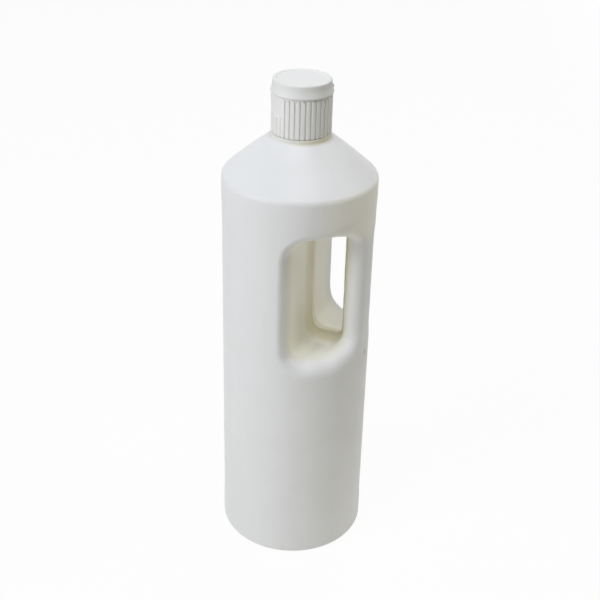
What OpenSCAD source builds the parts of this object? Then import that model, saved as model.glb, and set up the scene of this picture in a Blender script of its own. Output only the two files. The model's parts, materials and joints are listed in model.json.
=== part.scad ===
/* [Body] */
// Largest diameter of the bottle, over the heel and shoulder bands
body_d = 82.4; // [78:0.2:92]
// Height of the straight wall, up to the start of the shoulder
body_h = 221.4; // [215:0.2:250]
// Depth of the panel between the heel and shoulder bands
panel_recess = 0.3; // [0.1:0.1:0.8]
// Height of the heel band above the base
heel_band_h = 13; // [10:1:30]
// Height of the shoulder band below the shoulder
shoulder_band_h = 7; // [5:1:10]
// Rounding of the heel
heel_r = 4; // [2.5:0.5:8]
// Rounding between the wall and the shoulder cone
shoulder_r = 4; // [2.5:0.5:8]
// Slope of the shoulder above the horizontal, at its lower end
shoulder_slope = 42.4; // [38:0.2:46]
// How much flatter the shoulder is at the neck, in degrees
shoulder_turn = 5; // [1:0.5:8]
// Wall of the blown bottle
wall_t = 1; // [0.7:0.1:1.5]
// Rise of the base at its middle
push_up = 5; // [3:0.5:9]
// Width of the flat ring that the bottle stands on
foot_w = 3.6; // [2.5:0.1:6]

/* [Neck] */
// Outside diameter of the neck, at the root of its thread
neck_d = 25.2; // [24.6:0.1:26]
// Height of the neck from its base ring to its rim
neck_h = 19; // [17:0.5:24]
// Wall of the neck
neck_wall = 1.9; // [1.4:0.1:2.6]
// Thickness of the shoulder under the neck
root_t = 1.6; // [1.2:0.1:2.4]
// How far the ring at the foot of the neck stands out from it
ring_w = 3.2; // [2:0.1:4]
// Height of the ring above the top of the shoulder
ring_h = 1.8; // [0.4:0.1:3]

/* [Grip] */
// Width of the grip hole at the inner end of its rounded rim
grip_w = 22.5; // [20:0.1:26]
// Length of the grip hole, from its floor to its ceiling
grip_len = 71.6; // [55:0.2:100]
// Distance of the hole's ceiling below the shoulder
grip_drop = 19.8; // [18.4:0.2:36]
// Thickness of the grip post, measured outward from the hole
post_t = 11.8; // [10.4:0.1:14]
// Rounding of the hole's lower corner by the post
post_low_r = 6.5; // [6:0.1:7.5]
// Rounding of the hole's upper corner by the post
post_high_r = 5; // [5:0.1:9]
// Rounding of the hole's lower corner by the body
body_low_r = 10; // [6:0.1:12]
// Rounding of the hole's upper corner by the body
body_high_r = 12.5; // [6:0.1:13]
// Rounding of the rim along the post
rim_post_r = 5.75; // [3:0.05:5.75]
// Rounding of the rim along the body
rim_body_r = 3.4; // [2:0.1:5]
// Rounding of the rim along the ceiling
rim_high_r = 4.9; // [3:0.1:6]
// Rounding of the rim along the floor
rim_low_r = 8; // [5:0.5:9]
// Draft of the hole's walls towards the parting plane
grip_draft = 2; // [1:0.5:4]
// Thickness of the welded web at the parting plane
web_t = 2; // [1.4:0.1:3]
// Width of the web that is left round the punched hole
web_w = 1.6; // [0.8:0.1:1.8]
// Width of the web along the floor
web_low_w = 2.8; // [1:0.1:4]
// Length of the hollow run from the hole's wall to the web
weld_l = 9; // [2:0.5:12]

/* [Cap] */
// Room between the neck and the skirt's bore, for the thread
thread_room = 1.5; // [1.3:0.1:1.9]
// Wall of the skirt behind the grooves
skirt_wall = 1; // [0.8:0.1:2]
// Gap between the skirt and the ring at the foot of the neck
skirt_gap = 0.3; // [0.2:0.1:1.5]
// Number of ribs round the skirt
rib_count = 36; // [24:1:48]
// Depth of the grooves between the ribs
rib_depth = 0.55; // [0.3:0.05:0.65]
// Width of a groove
groove_w = 0.85; // [0.5:0.05:1.2]
// Plain height between the top of the ribs and the lid
rib_start = 0.7; // [0.6:0.1:3]
// Thickness of the deck that closes the skirt
deck_t = 1; // [0.8:0.1:2.4]
// Depth of the flat thumb recess below the ribs
thumb_depth = 0.95; // [0.6:0.05:1]
// Height of the thumb recess below the lid
thumb_h = 10.6; // [6:0.2:13]
// Rounding of the thumb recess's lower corners
thumb_r = 2; // [0.5:0.1:3]
// Direction of the thumb recess round the axis
thumb_angle = 233; // [0:1:359]
// Bevel of the skirt's foot and of the spout's mouth
bevel = 0.33; // [0.2:0.01:0.5]
// Diameter of the spout's orifice
orifice_d = 5.2; // [4.6:0.1:6]
// Wall of the spout
spout_wall = 1.6; // [1:0.1:3]
// Gap between the spout's mouth and the lid's ceiling
spout_room = 1; // [0.6:0.1:2]

/* [Lid] */
// Height of the lid
lid_h = 6.9; // [6:0.1:9]
// How far the lid's lower lip stands out over the ribs
lid_lip = 0.5; // [0.2:0.05:0.9]
// How far the lid narrows from its lip to its top
lid_taper = 1.1; // [0.7:0.05:1.3]
// How far the lip stands out from the lid's side
lip_out = 0.7; // [0.2:0.05:0.7]
// Height of the lip
lip_h = 4.2; // [2:0.1:4.6]
// Rounding of the lip's lower edge
lip_r = 0.6; // [0.3:0.05:0.8]
// Wall of the lid
lid_wall = 1.2; // [0.9:0.1:1.6]
// Gap between the closed lid and the deck
lid_gap = 0.2; // [0.1:0.05:0.4]
// Rounding of the lid's top edge
lid_edge_r = 0.8; // [0.4:0.1:1.2]
// Depth of the dished top
dish_depth = 0.4; // [0.2:0.1:0.9]
// Width of the rim round the dished top
dish_rim_w = 1; // [0.6:0.1:2]
// Room round the plug that closes the orifice
plug_gap = 0.5; // [0.4:0.1:1]
// Depth of the plug below the spout's mouth
plug_depth = 2.4; // [1:0.1:2.8]
// Height of the plug's tapered end
plug_tip = 1.05; // [0.5:0.05:1.5]
// How far the plug's end tapers
plug_taper = 0.2; // [0.1:0.05:0.5]

/* [Hinge] */
// Width of the living hinge
hinge_w = 7; // [5:0.5:10]
// Thickness of the living hinge
strap_t = 0.4; // [0.3:0.05:0.6]
// Height of the living hinge
strap_h = 3.6; // [2.4:0.1:4.4]
// Height of the pad that carries the hinge on the skirt
pad_h = 6; // [4:0.5:10]
// Height of the pad that carries the hinge on the lid
lid_pad_h = 3.6; // [3:0.1:4.2]
// How far the pads stand out from the lid's lower lip
pad_out = 0.35; // [0.2:0.05:0.6]

/* [Seal] */
// Thickness of the sealing washer
seal_t = 0.8; // [0.6:0.1:2]
// Hole of the sealing washer
seal_hole_d = 12; // [8:0.5:16]
// Gap round the seated washer
seal_gap = 0.05; // [0.02:0.01:0.1]
// Room between the washer's edge and the skirt's bore
seal_side_gap = 0.3; // [0.2:0.05:0.6]

/* [Hidden] */
$fn = 96;

body_color = [0.93, 0.93, 0.92];
cap_color = [0.95, 0.95, 0.95];
seal_color = [0.86, 0.88, 0.88];

// Radii
body_r = body_d / 2;
panel_r = body_r - panel_recess;
neck_r = neck_d / 2;
ring_r = neck_r + ring_w;
bore_r = neck_r + thread_room;
core_r = bore_r + skirt_wall;
cap_r = core_r + rib_depth;
lid_low_r = cap_r + lid_lip;
lid_top_r = lid_low_r - lid_taper;
lid_in_r = lid_top_r - lid_wall;
orifice_r = orifice_d / 2;
spout_r = orifice_r + spout_wall;
plug_r = orifice_r - plug_gap;
thumb_half_w = sqrt(cap_r * cap_r - pow(cap_r - thumb_depth, 2));

// Heights up the bottle's axis; the shoulder is an arc that flattens towards the neck
edge_turn = 90 - shoulder_slope;
neck_turn = edge_turn + shoulder_turn;
cone_start_r = body_r - shoulder_r * (1 - cos(edge_turn));
cone_start_z = body_h + shoulder_r * sin(edge_turn);
cone_r = (cone_start_r - ring_r) / (cos(edge_turn) - cos(neck_turn));
cone_cx = cone_start_r - cone_r * cos(edge_turn);
cone_cz = cone_start_z - cone_r * sin(edge_turn);
cone_end_z = cone_cz + cone_r * sin(neck_turn);
ring_z = cone_end_z + ring_h;
rim_z = ring_z + neck_h;
skirt_z = ring_z + skirt_gap;
deck_low_z = rim_z + seal_t + 2 * seal_gap;
deck_z = deck_low_z + deck_t;
lid_z = deck_z + lid_gap;
lid_top_z = lid_z + lid_h;
dish_z = lid_top_z - dish_depth;
ceiling_z = dish_z - lid_wall;
spout_z = ceiling_z - spout_room;
hinge_z = deck_z + lid_gap / 2;
pad_x = lid_low_r + pad_out;
hinge_angle = thumb_angle + 180;

// Least flat that is left between the two roundings of the post
least_flat = 0.3;
// Share of a short wall that the weld may take
weld_share = 0.7;
// Sides of the grip hole, and the post's rounding that fits its thickness
grip_high = body_h - grip_drop;
grip_low = grip_high - grip_len;
grip_x1 = panel_r - post_t;
grip_x = grip_x1 - grip_w;
post_rim_r = min(rim_post_r, (post_t - least_flat) / 2);

// Slope of the band edges, as height for each unit of depth
band_ramp = 8;
// How far cutting shapes run past what they cut
over = 1;
arc_steps = 8;
cone_steps = 4;
lip_steps = 4;
weld_steps = 5;
// Angle at which the rounded rim of the grip meets the wall
rim_meet = 16;
// How far the grip's cutting shape stands out of the wall, and its apex
flare = 4;
apex_out = 14;

// Arc about a centre, from one angle to another, as points of a profile
function arc(cx, cz, r, from, to, steps = arc_steps) =
    [for (i = [0 : steps]) let (a = from + (to - from) * i / steps) [cx + r * cos(a), cz + r * sin(a)]];

// Half profile of the bottle, moved inward by t, up to the height end_z on its shoulder
function body_profile(t, end_z) =
    let (foot_r = body_r - heel_r - foot_w,
         dome_r = (foot_r * foot_r + push_up * push_up) / (2 * push_up),
         dome_turn = asin(foot_r / dome_r),
         band_h = panel_recess * band_ramp,
         end_turn = asin((end_z - cone_cz) / (cone_r - t)))
    concat(
        arc(0, push_up - dome_r + t, dome_r, 90, 90 - dome_turn),
        arc(body_r - heel_r, heel_r, heel_r - t, -90, 0),
        [[body_r - t, heel_band_h], [panel_r - t, heel_band_h + band_h]],
        [[panel_r - t, body_h - shoulder_band_h - band_h], [body_r - t, body_h - shoulder_band_h]],
        arc(body_r - shoulder_r, body_h, shoulder_r - t, 0, edge_turn),
        [for (i = [1 : cone_steps]) let (a = edge_turn + (end_turn - edge_turn) * i / cone_steps)
            [cone_cx + (cone_r - t) * cos(a), cone_cz + (cone_r - t) * sin(a)]]);

module bottle_outside() {
    rotate_extrude()
        polygon(concat(
            body_profile(0, cone_end_z),
            [[ring_r, ring_z], [neck_r, ring_z], [neck_r, rim_z], [0, rim_z]]));
}

module bottle_inside() {
    bore = neck_r - neck_wall;
    root_z = ring_z - root_t;
    rotate_extrude()
        polygon(concat(
            body_profile(wall_t, root_z),
            [[bore, root_z], [bore, rim_z + over], [0, rim_z + over]]));
}

// Outline of the grip hole in the parting plane: x, z and the outward direction of each point
function grip_corner(cx, cz, r, from) =
    [for (i = [0 : arc_steps]) let (a = from + 90 * i / arc_steps)
        [cx + r * cos(a), cz + r * sin(a), cos(a), sin(a)]];
grip_outline = concat(
    grip_corner(grip_x1 - post_high_r, grip_high - post_high_r, post_high_r, 0),
    grip_corner(grip_x + body_high_r, grip_high - body_high_r, body_high_r, 90),
    grip_corner(grip_x + body_low_r, grip_low + body_low_r, body_low_r, 180),
    grip_corner(grip_x1 - post_low_r, grip_low + post_low_r, post_low_r, 270));

// A ball that rolls along the rim, touching the hole's wall and the bottle's wall, gives the rounding
function share(way) = pow(max(0, way), 2);
function rim_ball(p) =
    post_rim_r * share(p[2]) + rim_body_r * share(-p[2])
    + rim_high_r * share(p[3]) + rim_low_r * share(-p[3]);
function ball_centre(p) =
    let (r = rim_ball(p),
         x = p[0] + r * p[2],
         reach = panel_r - r * cos(rim_meet))
    [x, sqrt(reach * reach - x * x), p[1] + r * p[3]];
function wall_way(p) = [-p[2] * cos(grip_draft), sin(grip_draft), -p[3] * cos(grip_draft)];
function out_way(c) = [c[0], c[1], 0] / norm([c[0], c[1]]);
function turn(a, b, s) =
    let (w = acos(a * b))
    (a * sin((1 - s) * w) + b * sin(s * w)) / sin(w);

// Point of the rim rounding: s = 0 on the hole's wall, 1 on the bottle's wall; t moves it into the plastic
function rim_point(p, s, t, more = 0) =
    let (c = ball_centre(p))
    c + (rim_ball(p) - t + more) * turn(wall_way(p), out_way(c), s);
// Point of the hole's wall at a distance y from the parting plane, and inset further into the hole
function wall_point(p, y, t, inset = 0) =
    let (a = rim_point(p, 0, t),
         q = (a[1] - y) * tan(grip_draft) + inset)
    [a[0] - p[2] * q, y, a[2] - p[3] * q];
function flip(p, side) = [p[0], p[1] * side, p[2]];

// Rings of one half of the grip hole, from outside the bottle to the parting plane
function grip_rings(t) = concat(
    [[for (p = grip_outline) rim_point(p, 1, t, flare)]],
    [for (i = [arc_steps : -1 : 0]) [for (p = grip_outline) rim_point(p, i / arc_steps, t)]]);
function web_width(p) = web_w + (web_low_w - web_w) * share(-p[3]);
function weld_run(p) = min(weld_l, weld_share * (rim_point(p, 0, 0)[1] - web_t / 2));
function web_rings() =
    [for (i = [0 : weld_steps]) let (a = 90 * i / weld_steps)
        [for (p = grip_outline)
            wall_point(p, web_t / 2 + weld_run(p) * (1 - sin(a)), 0, web_width(p) * (1 - cos(a)))]];
function flip_rings(rings, side) = [for (ring = rings) [for (p = ring) flip(p, side)]];
function reversed(list) = [for (i = [len(list) - 1 : -1 : 0]) list[i]];

// Closed skin through rings of equal count, with a point before the first and after the last
module ring_skin(rings, first, last) {
    n = len(rings[0]);
    m = len(rings);
    points = concat([for (ring = rings) each ring], [first, last]);
    sides = [for (j = [0 : m - 2], i = [0 : n - 1]) let (k = (i + 1) % n)
        each [[j * n + i, j * n + k, (j + 1) * n + i], [j * n + k, (j + 1) * n + k, (j + 1) * n + i]]];
    front = [for (i = [0 : n - 1]) [n * m, (i + 1) % n, i]];
    back = [for (i = [0 : n - 1]) [n * m + 1, (m - 1) * n + i, (m - 1) * n + (i + 1) % n]];
    polyhedron(points, concat(sides, front, back));
}

// The grip hole as a solid: t = 0 is what is cut from outside, t = wall_t is its skin of plastic
module grip_hole(t) {
    half = t > 0
        ? concat(grip_rings(t), [[for (p = grip_outline) wall_point(p, 0, t)]])
        : concat(grip_rings(0), web_rings());
    other = t > 0 ? [for (i = [0 : len(half) - 2]) half[i]] : half;
    apex = [(grip_x + grip_x1) / 2, body_r + apex_out, (grip_low + grip_high) / 2];
    ring_skin(concat(flip_rings(half, -1), reversed(other)), flip(apex, -1), apex);
}

module bottle() {
    color(body_color)
        difference() {
            bottle_outside();
            difference() {
                bottle_inside();
                grip_hole(wall_t);
            }
            grip_hole(0);
        }
}

// Block that stands out of the cap where the living hinge joins it
module hinge_pad(z_low, z_high, x_in, slope_low, slope_high) {
    rotate([0, 0, hinge_angle])
        translate([0, hinge_w / 2, 0])
            rotate([90, 0, 0])
                linear_extrude(height = hinge_w)
                    polygon([
                        [x_in, z_low], [pad_x, z_low + slope_low],
                        [pad_x, z_high - slope_high], [x_in, z_high]]);
}

module rib_grooves() {
    for (i = [0 : rib_count - 1])
        rotate([0, 0, thumb_angle + (i + 0.5) * 360 / rib_count])
            translate([core_r, -groove_w / 2, skirt_z - over])
                cube([rib_depth + over, groove_w, deck_z - rib_start - skirt_z + over]);
}

module thumb_recess() {
    low = deck_z - thumb_h;
    rotate([0, 0, thumb_angle])
        translate([cap_r - thumb_depth, 0, 0])
            rotate([90, 0, 90])
                linear_extrude(height = thumb_depth + over)
                    polygon(concat(
                        [[cap_r, deck_z + over], [-cap_r, deck_z + over]],
                        arc(thumb_r - thumb_half_w, low + thumb_r, thumb_r, 180, 270),
                        arc(thumb_half_w - thumb_r, low + thumb_r, thumb_r, 270, 360)));
}

module skirt() {
    rib_top = deck_z - rib_start;
    rotate_extrude()
        polygon([
            [bore_r, skirt_z], [cap_r - bevel, skirt_z], [cap_r, skirt_z + bevel],
            [cap_r, rib_top - rib_depth], [core_r, rib_top], [core_r, deck_z],
            [spout_r, deck_z], [spout_r - bevel, spout_z],
            [orifice_r, spout_z], [orifice_r, deck_low_z], [bore_r, deck_low_z]]);
}

module cap_base() {
    color(cap_color)
        union() {
            difference() {
                skirt();
                rib_grooves();
                thumb_recess();
            }
            hinge_pad(deck_z - pad_h, deck_z, (bore_r + core_r) / 2, pad_x - core_r, 0);
        }
}

module cap_lid() {
    dish_r = lid_top_r - lid_edge_r - dish_rim_w;
    plug_z = spout_z - plug_depth;
    color(cap_color)
        union() {
            rotate_extrude()
                polygon(concat(
                    [[0, plug_z], [plug_r - plug_taper, plug_z], [plug_r, plug_z + plug_tip]],
                    [[plug_r, ceiling_z], [lid_in_r, ceiling_z], [lid_in_r, lid_z]],
                    arc(lid_low_r - lip_r, lid_z + lip_r, lip_r, -90, 0, lip_steps),
                    [[lid_low_r - lip_out, lid_z + lip_h]],
                    arc(lid_top_r - lid_edge_r, lid_top_z - lid_edge_r, lid_edge_r, 0, 90),
                    [[dish_r + dish_depth, lid_top_z], [dish_r, dish_z], [0, dish_z]]));
            hinge_pad(lid_z, lid_z + lid_pad_h, lid_top_r - lid_wall / 2, 0, pad_x - lid_top_r);
        }
}

module hinge_strap() {
    color(cap_color)
        rotate([0, 0, hinge_angle])
            translate([pad_x, -hinge_w / 2, hinge_z - strap_h / 2])
                cube([strap_t, hinge_w, strap_h]);
}

module seal_washer() {
    outer = bore_r - seal_side_gap;
    color(seal_color)
        rotate_extrude()
            translate([seal_hole_d / 2, rim_z + seal_gap])
                square([outer - seal_hole_d / 2, seal_t]);
}

bottle();
cap_base();
cap_lid();
hinge_strap();
seal_washer();
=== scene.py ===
import json

import bmesh
import bpy
import numpy as np
from mathutils import Matrix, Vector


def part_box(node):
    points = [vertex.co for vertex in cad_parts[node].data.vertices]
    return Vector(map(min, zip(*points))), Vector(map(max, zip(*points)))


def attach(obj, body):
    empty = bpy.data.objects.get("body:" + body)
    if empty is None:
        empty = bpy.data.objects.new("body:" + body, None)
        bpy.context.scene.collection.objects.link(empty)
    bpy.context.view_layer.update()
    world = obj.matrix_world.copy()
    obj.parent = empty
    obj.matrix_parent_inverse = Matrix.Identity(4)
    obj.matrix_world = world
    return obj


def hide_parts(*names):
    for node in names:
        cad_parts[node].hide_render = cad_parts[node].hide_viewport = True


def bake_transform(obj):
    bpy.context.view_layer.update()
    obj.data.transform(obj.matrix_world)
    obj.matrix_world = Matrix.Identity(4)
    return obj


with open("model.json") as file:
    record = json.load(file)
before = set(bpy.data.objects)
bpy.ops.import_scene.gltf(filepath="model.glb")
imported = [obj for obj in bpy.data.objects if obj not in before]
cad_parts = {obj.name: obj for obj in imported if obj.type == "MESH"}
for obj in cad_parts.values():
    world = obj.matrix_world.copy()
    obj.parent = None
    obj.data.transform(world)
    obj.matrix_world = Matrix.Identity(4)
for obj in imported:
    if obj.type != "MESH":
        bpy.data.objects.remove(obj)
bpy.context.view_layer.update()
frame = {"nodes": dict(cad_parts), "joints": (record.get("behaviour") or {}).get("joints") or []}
mm = 0.001  # the pieces' sizes are in millimetres, the scene and its stage in metres

# heights and directions that the solids already have
hair = 0.003  # how far the lid's top stays inside the solid's
joints = {joint["name"]: joint for joint in frame["joints"]}
hingeAxis = joints["lid_flip"]["axis"]
hingeTurn = np.arctan2(-hingeAxis[0], hingeAxis[1])
thumbTurn = hingeTurn + np.pi
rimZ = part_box("bottle")[1].z / mm
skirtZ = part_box("cap_base")[0].z / mm
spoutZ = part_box("cap_base")[1].z / mm
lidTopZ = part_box("cap_lid")[1].z / mm - hair
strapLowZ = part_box("hinge_strap")[0].z / mm
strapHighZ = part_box("hinge_strap")[1].z / mm
hingeZ = (strapLowZ + strapHighZ) / 2
print("frame loaded: rim", round(rimZ, 2), "skirt", round(skirtZ, 2), "lid top", round(lidTopZ, 2))


# small tools for surfaces


def smoothStep(low, high, x):  # rises from 0 at low to 1 at high, level at both ends
    t = np.clip((x - low) / (high - low), 0, 1)
    return t * t * (3 - 2 * t)


def arcRow(cr, cz, radius, start, stop, steps):  # arc in the half plane (r, z), angles in degrees
    a = np.radians(np.linspace(start, stop, steps + 1))
    return np.stack([cr + radius * np.cos(a), cz + radius * np.sin(a)], 1)


def wrapAngle(a):  # the same direction, between minus and plus half a turn
    return (a + np.pi) % (2 * np.pi) - np.pi


def gridQuads(rows, cols, wrapRows=False, wrapCols=False, keep=None):
    # corner numbers of the faces between neighbouring rows and columns of a grid of points
    lastRow, lastCol = rows - (not wrapRows), cols - (not wrapCols)
    i, j = np.meshgrid(np.arange(lastRow), np.arange(lastCol), indexing="ij")
    i2, j2 = (i + 1) % rows, (j + 1) % cols
    quads = np.stack([i * cols + j, i * cols + j2, i2 * cols + j2, i2 * cols + j], -1)
    return quads.reshape(-1, 4) if keep is None else quads[keep]


def turnProfile(r, z, theta):  # point (r, z) of a row turned to the angle theta of a column
    return np.stack(np.broadcast_arrays(r * np.cos(theta), r * np.sin(theta), z), -1).reshape(-1, 3)


def helixRidge(theta, z, thread):
    # height 0 to 1 of a ridge whose middle climbs one pitch a turn, fading out at both ends
    height = 0
    for lap in range(-1, 3):
        turns = (theta - thread["startTurn"]) / (2 * np.pi) + lap
        off = np.abs(z - thread["startZ"] - thread["pitch"] * turns)
        fade = smoothStep(0, thread["fade"], turns)
        fade = fade * (1 - smoothStep(thread["turns"] - thread["fade"], thread["turns"], turns))
        height = np.maximum(height, fade * (1 - smoothStep(thread["crest"], thread["base"], off)))
    return height


def addPiece(name, patches, look, crease=38):
    # patches of (points, quads) are welded where they meet; edges above the crease angle stay sharp
    weldGap = 0.002
    starts = np.cumsum([0] + [len(points) for points, _ in patches])
    points = np.concatenate([points for points, _ in patches]) * mm
    quads = np.concatenate([quads + start for (_, quads), start in zip(patches, starts)])
    mesh = bpy.data.meshes.new(name)
    mesh.from_pydata(points.tolist(), [], quads.tolist())
    work = bmesh.new()
    work.from_mesh(mesh)
    bmesh.ops.remove_doubles(work, verts=work.verts, dist=weldGap * mm)
    work.to_mesh(mesh)
    work.free()
    mesh.polygons.foreach_set("use_smooth", np.ones(len(mesh.polygons), bool))
    mesh.set_sharp_from_angle(angle=np.radians(crease))
    mesh.materials.append(look)
    piece = bpy.data.objects.new(name, mesh)
    bpy.context.scene.collection.objects.link(piece)
    print(name, len(mesh.polygons), "faces")
    return piece


# materials


class Wire:  # a node's output that can be added, multiplied and so on: each sum adds a Math node
    def __init__(self, tree, socket):
        self.tree = tree
        self.socket = socket

    def node(self, kind, settings, values, out=0):  # any other node: settings first, then its sockets
        made = self.tree.nodes.new(kind)
        for name, value in settings.items():
            setattr(made, name, value)
        for name, value in values.items():
            if isinstance(value, Wire):
                self.tree.links.new(value.socket, made.inputs[name])
            else:
                made.inputs[name].default_value = value
        return Wire(self.tree, made.outputs[out])

    def math(self, operation, a, b=0.0):
        return self.node("ShaderNodeMath", {"operation": operation}, {0: a, 1: b})

    def __add__(self, other):
        return self.math("ADD", self, other)

    def __mul__(self, other):
        return self.math("MULTIPLY", self, other)

    def __sub__(self, other):
        return self.math("SUBTRACT", self, other)

    def __rsub__(self, other):
        return self.math("SUBTRACT", other, self)

    __radd__ = __add__
    __rmul__ = __mul__

    def rise(self, low, high):  # 0 below low, 1 above high
        values = {"Value": self, "From Min": low, "From Max": high}
        return self.node("ShaderNodeMapRange", {"interpolation_type": "SMOOTHSTEP"}, values)

    def past(self, span):  # the same for a place, with low and high in mm
        return self.rise(*(end * mm for end in span))

    def tint(self, dry, wet):  # colour mixed from dry to wet by this value
        return self.node("ShaderNodeMix", {"data_type": "RGBA"}, {0: self, 6: dry, 7: wet}, out=2)

    def noise(self, size, detail=3.0):  # cloudy pattern with patches of about that size in mm
        values = {"Vector": self, "Scale": 1 / (size * mm), "Detail": detail}
        return self.node("ShaderNodeTexNoise", {}, values)

    def relief(self, height, under=None):  # bumps of that height in mm, on top of another relief
        values = {"Strength": 1.0, "Distance": height * mm, "Height": self}
        if under:
            values["Normal"] = under
        return self.node("ShaderNodeBump", {}, values)


def newLook(name):
    look = bpy.data.materials.new(name)
    look.use_nodes = True
    tree = look.node_tree
    shader = tree.nodes["Principled BSDF"]
    place = Wire(tree, tree.nodes.new("ShaderNodeTexCoord").outputs["Object"])
    return look, shader, place


def feed(look, shader, values):
    for name, value in values.items():
        if isinstance(value, Wire):
            look.node_tree.links.new(value.socket, shader.inputs[name])
        else:
            shader.inputs[name].default_value = value


def splitPlace(place):  # x, y, z and the distance from the bottle's axis
    axes = place.node("ShaderNodeSeparateXYZ", {}, {"Vector": place}).socket.node.outputs
    x, y, z = (Wire(place.tree, axes[name]) for name in "XYZ")
    return x, y, z, place.math("SQRT", x * x + y * y)


# pairs of numbers are spans in mm over which a zone begins or ends
blownLook = {
    "white": (0.872, 0.872, 0.866, 1),
    "cloud": (0.858, 0.858, 0.850, 1),
    "cloudSize": 18,
    "cloudShare": (0.35, 0.7),  # values of the noise, not mm
    "cloudRough": 0.05,
    "roughness": 0.42,
    "ior": 1.5,
    "waveSize": 26,  # slow unevenness of a blown wall
    "waveHeight": 0.35,
    "grainSize": 0.5,  # fine sand grain of the mould
    "grainHeight": 0.012,
    "grainRough": 0.04,
    "holeShadeTone": (0.852, 0.84, 0.76, 1),  # painted warm shade inside the grip hole
    "holeReach": (30.0, 39.5),
    "holeX": (2.0, 8.0),
    "holeLowZ": (118.0, 126.0),
    "holeHighZ": (204.0, 209.0),
    # painted shade in the weld's concave run inside the hole
    "weldShadeTone": (0.70, 0.66, 0.50, 1),
    "weldSpread": (5.0, 9.5),  # from the parting plane
    "weldLowZ": (131.0, 150.0),  # below this the weld is thicker and its painted shade is at full strength
    "weldShare": 0.6,  # its strength above
    "gripGlow": (1.0, 0.96, 0.72, 1),  # painted glow standing in for light that comes through the thin walls round the hole
    "glowPower": 0.098,
    "glowReach": (26.0, 37.0),
    "glowX": (14.0, 27.0),
    "weldDim": 0.35,  # shares of it that the weld and the far half take away
    "farDim": 0.6,
    "farY": (0.0, 6.0),
    "lowGlow": 0.7,  # how much more of it comes through low down, and how much less on the floor
    "lowZ": (133.0, 148.0),
    "floorDim": 0.7,
    "floorX": (9.0, 17.0),
    "floorY": (6.0, 13.0),
    "shoulderGlowTone": (0.865, 0.855, 0.785, 1),  # painted warm glow on the shaded wall above the hole
    "shoulderGlow": 0.48,
    "shoulderX": (19.0, 36.0),
    "shoulderReach": (36.0, 40.0),
    "shoulderLowZ": (188.0, 204.0),
    "shoulderHighZ": (222.5, 225.5),
    "neckShadeTone": (0.85, 0.82, 0.66, 1),  # painted warm shade on the neck and its ring under the cap
    "neckReach": (15.8, 17.2),
    "neckZ": (242.8, 244.2),
    "neckX": (-2.0, 14.0),
    "neckShare": 0.3,  # its strength away from the post's side
    "scuffTone": (0.42, 0.41, 0.38, 1),  # dark mark on the seam below the hole
    "scuffZ": 123.4,
    "scuffX": (39.5, 40.2),
    "scuffAside": (0.3, 1.1),
    "scuffUp": (0.5, 2.4),
}


def holeZones(s, x, y, z, reach):  # the hole's inside, the weld in it and the light through its walls: masks for painted shade and painted glow
    aside = y.math("ABSOLUTE", y)
    inHole = (1 - reach.past(s["holeReach"])) * x.past(s["holeX"])
    inHole = inHole * z.past(s["holeLowZ"]) * (1 - z.past(s["holeHighZ"]))
    # mask of the painted shade along the weld
    weld = inHole * (1 - aside.past(s["weldSpread"]))
    weld = weld * (1 - z.past(s["weldLowZ"]) * (1 - s["weldShare"]))
    # painted glow through the thin walls round the hole
    glow = inHole * (1 - reach.past(s["glowReach"])) * (1 - x.past(s["glowX"]))
    glow = glow * (1 - weld * s["weldDim"]) * (1 - y.past(s["farY"]) * s["farDim"])
    low = 1 - z.past(s["lowZ"])
    onFloor = x.past(s["floorX"]) * aside.past(s["floorY"])
    glow = glow * (1 + low * (s["lowGlow"] - onFloor * (s["lowGlow"] + s["floorDim"])))
    return inHole, weld, glow


# where a warm glow is painted on the shaded wall above the hole
def shoulderGlowZone(s, x, z, reach):
    side = x.past(s["shoulderX"]) * reach.past(s["shoulderReach"])
    return side * z.past(s["shoulderLowZ"]) * (1 - z.past(s["shoulderHighZ"]))


# painted shade under the cap, stronger towards the post's shaded side
def neckShadeZone(s, x, z, reach):
    ring = (1 - reach.past(s["neckReach"])) * z.past(s["neckZ"])
    return ring * (s["neckShare"] + (1 - s["neckShare"]) * x.past(s["neckX"]))


def scuffZone(s, x, y, z):
    aside = y.math("ABSOLUTE", y)
    up = z.math("ABSOLUTE", z - s["scuffZ"] * mm)
    return x.past(s["scuffX"]) * (1 - aside.past(s["scuffAside"])) * (1 - up.past(s["scuffUp"]))


def blownPlastic():
    s = blownLook
    look, shader, place = newLook("blownPlastic")
    x, y, z, reach = splitPlace(place)
    inHole, weld, glow = holeZones(s, x, y, z, reach)
    shoulder = shoulderGlowZone(s, x, z, reach)
    cloud = place.noise(s["cloudSize"]).rise(*s["cloudShare"])
    tone = cloud.tint(s["white"], s["cloud"])
    # painted warm shade inside the grip hole
    tone = inHole.tint(tone, s["holeShadeTone"])
    # painted warm glow on the wall above the hole
    tone = shoulder.tint(tone, s["shoulderGlowTone"])
    # painted warm shade on the neck's ring under the cap
    tone = neckShadeZone(s, x, z, reach).tint(tone, s["neckShadeTone"])
    # painted shade along the weld
    tone = weld.tint(tone, s["weldShadeTone"])
    tone = scuffZone(s, x, y, z).tint(tone, s["scuffTone"])
    wave = place.noise(s["waveSize"], 1.0)
    grain = place.noise(s["grainSize"], 2.0)
    # painted glow through the walls round the hole and above it, fed to Emission
    light = glow + shoulder * s["shoulderGlow"]
    feed(look, shader, {
        "Base Color": tone,
        "Roughness": s["roughness"] + cloud * s["cloudRough"] + grain * s["grainRough"],
        "Normal": grain.relief(s["grainHeight"], wave.relief(s["waveHeight"])),
        "Emission Color": light.tint((0, 0, 0, 1), s["gripGlow"]),
        "Emission Strength": s["glowPower"],
        "IOR": s["ior"],
    })
    return look


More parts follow.
